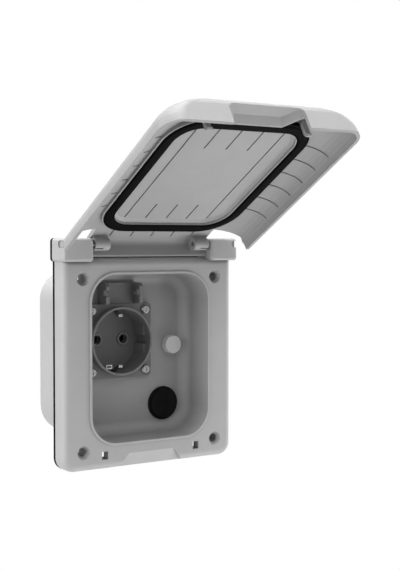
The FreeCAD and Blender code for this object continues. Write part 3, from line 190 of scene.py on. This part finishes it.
def tint(tree, bsdf, colour, spread, scale):
    """Colour that drifts a little across the surface."""
    mix = tree.nodes.new("ShaderNodeMix")
    mix.data_type = "RGBA"
    tex = noise(tree, scale, 3.0)
    tree.links.new(ramp(tree, tex.outputs["Fac"], 0.0, 1.0), mix.inputs["Factor"])
    mix.inputs["A"].default_value = scaled(colour, 1 - spread)
    mix.inputs["B"].default_value = scaled(colour, 1 + spread)
    tree.links.new(mix.outputs["Result"], bsdf.inputs["Base Color"])
    return mix


def painted_corner_shade(tree, bsdf, mix, reach, dark):
    """Painted shade: colour a little darker in corners, seams and recesses, the more they are
    hemmed in.
    """
    hollow = tree.nodes.new("ShaderNodeAmbientOcclusion")
    hollow.samples = SHADER_SAMPLES
    hollow.only_local = True
    hollow.inputs["Distance"].default_value = reach
    shade = tree.nodes.new("ShaderNodeMix")
    shade.data_type = "RGBA"
    shade.blend_type = "MULTIPLY"
    shade.inputs["Factor"].default_value = 1.0
    level = ramp(tree, hollow.outputs["AO"], dark, 1.0, 0.0, OPEN_SHARE)
    tree.links.new(mix.outputs["Result"], shade.inputs["A"])
    tree.links.new(level, shade.inputs["B"])
    tree.links.new(shade.outputs["Result"], bsdf.inputs["Base Color"])


def gloss(tree, bsdf, tex, low, high):
    """Roughness that drifts between two values."""
    tree.links.new(ramp(tree, tex.outputs["Fac"], low, high), bsdf.inputs["Roughness"])


def grain(tree, bsdf, scale, height, edge):
    """Fine surface grain over softened edges."""
    bevel = tree.nodes.new("ShaderNodeBevel")
    bevel.samples = SHADER_SAMPLES
    bevel.inputs["Radius"].default_value = edge
    bump = tree.nodes.new("ShaderNodeBump")
    bump.inputs["Strength"].default_value = GRAIN_STRENGTH
    bump.inputs["Distance"].default_value = height
    tex = noise(tree, scale, 4.0)
    tree.links.new(tex.outputs["Fac"], bump.inputs["Height"])
    tree.links.new(bevel.outputs["Normal"], bump.inputs["Normal"])
    tree.links.new(bump.outputs["Normal"], bsdf.inputs["Normal"])


def plastic(name, level, rough, spread=0.03, reach=0.02, dark=0.6):
    """Moulded plastic with a fine spark-eroded grain and painted shade in its corners."""
    mat, tree, bsdf = new_material(name)
    tint_waves, gloss_waves, grain_waves = PLASTIC_WAVES
    mix = tint(tree, bsdf, grey(level), spread, tint_waves)
    # Painted shade darkens the colour in corners and recesses
    painted_corner_shade(tree, bsdf, mix, reach, dark)
    gloss(tree, bsdf, noise(tree, gloss_waves, 3.0), rough - 0.06, rough + 0.06)
    bsdf.inputs["IOR"].default_value = PLASTIC_IOR
    grain(tree, bsdf, grain_waves, PLASTIC_GRAIN, PLASTIC_EDGE)
    return mat


def rubber(name, level):
    """Matt black rubber."""
    mat, tree, bsdf = new_material(name)
    tint_waves, gloss_waves, grain_waves = RUBBER_WAVES
    tint(tree, bsdf, grey(level), 0.25, tint_waves)
    gloss(tree, bsdf, noise(tree, gloss_waves, 3.0), 0.55, 0.75)
    bsdf.inputs["Specular IOR Level"].default_value = RUBBER_SHINE
    grain(tree, bsdf, grain_waves, RUBBER_GRAIN, PLASTIC_EDGE)
    return mat


def metal(name, colour, rough):
    """Plated metal with faint turning streaks and spots."""
    mat, tree, bsdf = new_material(name)
    bsdf.inputs["Metallic"].default_value = 1.0
    tint_waves, streak_waves, grain_waves = METAL_WAVES
    tint(tree, bsdf, colour, 0.25, tint_waves)
    coord = tree.nodes.new("ShaderNodeTexCoord")
    mapping = tree.nodes.new("ShaderNodeMapping")
    mapping.inputs["Scale"].default_value = streak_waves
    tex = tree.nodes.new("ShaderNodeTexNoise")
    tex.inputs["Scale"].default_value = 1.0
    tree.links.new(coord.outputs["Object"], mapping.inputs["Vector"])
    tree.links.new(mapping.outputs["Vector"], tex.inputs["Vector"])
    gloss(tree, bsdf, tex, rough - 0.08, rough + 0.1)
    grain(tree, bsdf, grain_waves, METAL_GRAIN, METAL_EDGE)
    return mat


LOOKS = {
    # reach and dark set how far and how deep the painted shade goes; the flange's recess is
    # darkened most
    "flange": plastic("flange_abs", 184, 0.5, reach=0.07, dark=0.3),
    "housing": plastic("housing_abs", 188, 0.5),
    "lid": plastic("lid_abs", 168, 0.5, dark=0.8),
    "rubber": rubber("seal_rubber", 8),
    "steel": metal("zinc_steel", (0.32, 0.32, 0.31, 1.0), 0.4),
    "brass": metal("contact_brass", (0.16, 0.15, 0.13, 1.0), 0.5),
    "socket": plastic("socket_grey", 116, 0.45, 0.05),
    "insulator": plastic("insulator_cream", 150, 0.45),
    "plug_grey": plastic("plug_grey", 216, 0.45),
    "black": rubber("cap_black", 27),
    "rim": plastic("entry_rim_grey", 140, 0.5, 0.05),
}


def rounded_loop(x0, x1, z0, z1, r, steps=10):
    """Points of a rounded rectangle, turning from its right side upwards."""
    corners = [
        (x1 - r, z1 - r, 0),
        (x0 + r, z1 - r, 90),
        (x0 + r, z0 + r, 180),
        (x1 - r, z0 + r, 270),
    ]
    points = []
    for cx, cz, start in corners:
        for k in range(steps + 1):
            a = math.radians(start + 90 * k / steps)
            points.append((cx + r * math.cos(a), cz + r * math.sin(a)))
    return points


def ring_loops(centre, profile, steps=48):
    """Loops round a centre in the wall plane for (radius, y) profile points."""
    turns = [2 * math.pi * k / steps for k in range(steps)]
    cx, cz = centre
    return [[(cx + r * math.cos(a), y, cz + r * math.sin(a)) for a in turns] for r, y in profile]


def swept(loops):
    """Quads between closed loops of equal length, joined from the last back to the first."""
    n = len(loops[0])
    verts = [p for loop in loops for p in loop]
    faces = []
    for i in range(len(loops)):
        j = (i + 1) % len(loops)
        for k in range(n):
            m = (k + 1) % n
            faces.append((i * n + k, i * n + m, j * n + m, j * n + k))
    return verts, faces


def box_part(x0, x1, y0, y1, z0, z1):
    """Corners and faces of a box."""
    verts = [(x, y, z) for x in (x0, x1) for y in (y0, y1) for z in (z0, z1)]
    faces = [(0, 1, 3, 2), (4, 6, 7, 5), (0, 4, 5, 1), (2, 3, 7, 6), (0, 2, 6, 4), (1, 5, 7, 3)]
    return verts, faces


def joined(parts):
    """Several parts as one list of corners and faces."""
    verts, faces = [], []
    for v, f in parts:
        base = len(verts)
        verts += v
        faces += [tuple(i + base for i in face) for face in f]
    return verts, faces


def mesh_piece(name, part, look, body):
    """Mesh in millimetres, dressed and fixed to a body."""
    verts, faces = part
    mesh = bpy.data.meshes.new(name)
    mesh.from_pydata([Vector(v) * MM for v in verts], [], faces)
    work = bmesh.new()
    work.from_mesh(mesh)
    bmesh.ops.remove_doubles(work, verts=work.verts, dist=MERGE_BELOW)
    bmesh.ops.recalc_face_normals(work, faces=work.faces)
    work.to_mesh(mesh)
    work.free()
    obj = bpy.data.objects.new(name, mesh)
    bpy.context.scene.collection.objects.link(obj)
    mesh.materials.append(LOOKS[look])
    smooth_faces(mesh)
    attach(obj, body)


def smooth_faces(mesh):
    """Smooth shading with the real edges kept sharp."""
    for face in mesh.polygons:
        face.use_smooth = True
    mesh.set_sharp_from_angle(angle=SMOOTH_BELOW)


def lid_point(x, y, z):
    """Point of the shut lid, moved to the open place."""
    dy, dz = y - HINGE_Y, z - HINGE_Z
    c, t = math.cos(LID_OPEN), math.sin(LID_OPEN)
    return (x, HINGE_Y + dy * c + dz * t, HINGE_Z - dy * t + dz * c)


def seal_loop(left, right, ends):
    """Rounded loop that lies outside the seal's middle line by these amounts."""
    low = SEAL_Z - SEAL_HALF_H - ends
    high = SEAL_Z + SEAL_HALF_H + ends
    return rounded_loop(-SEAL_HALF_W - left, SEAL_HALF_W + right, low, high, SEAL_CORNER + ends)


def lid_band(levels):
    """Closed band in the lid through (loop, y) levels."""
    return swept([[lid_point(x, y, z) for x, z in loop] for loop, y in levels])


def lip_band(edge, far):
    """Flat band between two loops, standing on a wall of the seal's channel."""
    low = LID_INNER_Y + LIP_FOOT
    top = SEAL_FACE_Y - CHANNEL_SHORT + LIP_T
    return lid_band([(edge, low), (edge, top + LIP_T), (far, top), (far, low)])


def seal_lip_and_gap_shade():
    """Thin black lips over both walls of the lid's seal channel: partly the seal's own rubber,
    partly painted shade for the dark gap in the channel.
    """
    out = SEAL_HALF
    outer_far = seal_loop(out + LIP_LEFT, out + LIP_W, out + LIP_W)
    inner_far = seal_loop(-out - LIP_IN, -out - LIP_IN_RIGHT, -out - LIP_IN)
    outer = lip_band(seal_loop(out, out, out), outer_far)
    inner = lip_band(seal_loop(-out, -out, -out), inner_far)
    # Black sheets: partly seal rubber, partly painted shade in the channel
    mesh_piece("seal_lip_and_gap_shade", joined([outer, inner]), "rubber", "lid")


def seal_bed():
    """Low slope of the lid moulding inside its seal channel."""
    near = seal_loop(-BED_NEAR, -BED_NEAR, -BED_NEAR)
    far = seal_loop(-BED_FAR, -BED_FAR, -BED_FAR)
    low = LID_INNER_Y - BED_SUNK
    levels = [(near, LID_INNER_Y + BED_H), (far, LID_INNER_Y + BED_EDGE), (far, low), (near, low)]
    mesh_piece("seal_bed", lid_band(levels), "lid", "lid")


def contact_rings():
    """Pale rims of the two pin entries."""
    y = POT_FLOOR_Y - PIN_RING_H
    inner = PIN_HOLE_R + RIM_CLEAR
    outer = PIN_RING_R + RIM_T
    profile = [
        (inner, y + RIM_SUNK),
        (inner, y - RIM_T),
        (PIN_RING_R - RIM_EDGE, y - RIM_T),
        (outer, y + RIM_EDGE),
        (outer, y + RIM_SUNK),
    ]
    for side, name in ((-1, "entry_rim_left"), (1, "entry_rim_right")):
        centre = (SOCKET_X + side * PIN_PITCH / 2, SOCKET_Z)
        mesh_piece(name, swept(ring_loops(centre, profile)), "rim", "housing")


def earth_eyelet():
    """Small plated eyelet on a stem at the lower left of the pot."""
    x, bar = EYELET_X, EYELET_BAR
    left, right = x - EYELET_W / 2, x + EYELET_W / 2
    low, high = EYELET_Z - EYELET_H / 2, EYELET_Z + EYELET_H / 2
    y0, y1 = EYELET_Y, EYELET_Y + EYELET_T
    fold_y = y1 + FOLD_BACK
    parts = [
        box_part(left, right, y0, y1, high - bar, high),
        box_part(left, right, y0, y1, low, low + bar),
        box_part(left, left + bar, y0, y1, low + bar, high - bar),
        box_part(right - bar, right, y0, y1, low + bar, high - bar),
        box_part(x - STEM_HALF_W, x + STEM_HALF_W, y1, POT_FLOOR_Y, low, low + bar),
        box_part(left, right, y1 + FOLD_GAP, fold_y, low - FOLD_DROP, low + FOLD_LAP),
    ]
    mesh_piece("earth_eyelet", joined(parts), "steel", "housing")


def dress_nodes():
    """Give every CAD node the look of its record slot."""
    for name, obj in NODES.items():
        look = LOOKS[SLOTS[name]]
        if not obj.material_slots:
            obj.data.materials.append(look)
        for slot in obj.material_slots:
            slot.material = look
        smooth_faces(obj.data)


def make_camera():
    """Camera at the place and with the lens of the photograph."""
    cam = bpy.data.objects.new("camera", bpy.data.cameras.new("camera"))
    bpy.context.scene.collection.objects.link(cam)
    sin_yaw, cos_yaw = math.sin(CAMERA_YAW), math.cos(CAMERA_YAW)
    sin_pitch, cos_pitch = math.sin(CAMERA_PITCH), math.cos(CAMERA_PITCH)
    forward = Vector((sin_yaw * cos_pitch, cos_yaw * cos_pitch, -sin_pitch))
    right = Vector((cos_yaw, -sin_yaw, 0))
    up = right.cross(forward)
    cam.matrix_world = Matrix((
        (right.x, up.x, -forward.x, CAMERA_PLACE.x),
        (right.y, up.y, -forward.y, CAMERA_PLACE.y),
        (right.z, up.z, -forward.z, CAMERA_PLACE.z),
        (0, 0, 0, 1)))
    cam.data.sensor_width = SENSOR_W
    cam.data.sensor_fit = "AUTO"
    cam.data.lens = CAMERA_LENS
    cam.data.clip_start = CAMERA_NEAR
    cam.data.clip_end = CAMERA_FAR
    bpy.context.scene.camera = cam


def area_light(name, place, size, power):
    """Round soft lamp that looks at the object."""
    data = bpy.data.lights.new(name, "AREA")
    data.shape = "DISK"
    data.size = size
    data.energy = power
    lamp = bpy.data.objects.new(name, data)
    bpy.context.scene.collection.objects.link(lamp)
    lamp.location = place
    lamp.rotation_mode = "QUATERNION"
    lamp.rotation_quaternion = (-Vector(place)).to_track_quat("-Z", "Y")


def seen_directly(tree):
    """1 for rays from the camera, and for what metal and glass show."""
    path = tree.nodes.new("ShaderNodeLightPath")
    total = path.outputs["Is Camera Ray"]
    for name in ("Is Glossy Ray", "Is Transmission Ray"):
        step = tree.nodes.new("ShaderNodeMath")
        step.operation = "MAXIMUM"
        tree.links.new(total, step.inputs[0])
        tree.links.new(path.outputs[name], step.inputs[1])
        total = step.outputs["Value"]
    return total


def make_world():
    """Even ambient light, white where it is seen."""
    world = bpy.data.worlds.new("studio")
    bpy.context.scene.world = world
    world.use_nodes = True
    tree = world.node_tree
    tree.nodes.clear()
    out = tree.nodes.new("ShaderNodeOutputWorld")
    ambient = tree.nodes.new("ShaderNodeBackground")
    ambient.inputs["Color"].default_value = WHITE
    ambient.inputs["Strength"].default_value = AMBIENT
    white = tree.nodes.new("ShaderNodeBackground")
    white.inputs["Color"].default_value = WHITE
    white.inputs["Strength"].default_value = 1.0
    mix = tree.nodes.new("ShaderNodeMixShader")
    tree.links.new(seen_directly(tree), mix.inputs["Fac"])
    tree.links.new(ambient.outputs[0], mix.inputs[1])
    tree.links.new(white.outputs[0], mix.inputs[2])
    tree.links.new(mix.outputs[0], out.inputs["Surface"])


def make_floor():
    """Studio floor, white where it is seen and grey for the light that it throws back."""
    h = FLOOR_HALF
    mesh = bpy.data.meshes.new("floor")
    corners = [(-h, -h, FLOOR_Z), (h, -h, FLOOR_Z), (h, h, FLOOR_Z), (-h, h, FLOOR_Z)]
    mesh.from_pydata(corners, [], [(0, 1, 2, 3)])
    floor = bpy.data.objects.new("floor", mesh)
    bpy.context.scene.collection.objects.link(floor)
    mat = bpy.data.materials.new("floor_white")
    mat.use_nodes = True
    tree = mat.node_tree
    tree.nodes.clear()
    out = tree.nodes.new("ShaderNodeOutputMaterial")
    matt = tree.nodes.new("ShaderNodeBsdfDiffuse")
    matt.inputs["Color"].default_value = (FLOOR_GREY, FLOOR_GREY, FLOOR_GREY, 1)
    glow = tree.nodes.new("ShaderNodeEmission")
    glow.inputs["Strength"].default_value = 1.0
    mix = tree.nodes.new("ShaderNodeMixShader")
    tree.links.new(seen_directly(tree), mix.inputs["Fac"])
    tree.links.new(matt.outputs[0], mix.inputs[1])
    tree.links.new(glow.outputs[0], mix.inputs[2])
    tree.links.new(mix.outputs[0], out.inputs["Surface"])
    mesh.materials.append(mat)


dress_nodes()
seal_lip_and_gap_shade()
seal_bed()
contact_rings()
earth_eyelet()
make_camera()
make_floor()
make_world()
for lamp in LAMPS:
    area_light(*lamp)
bpy.context.scene.view_settings.view_transform = "Standard"
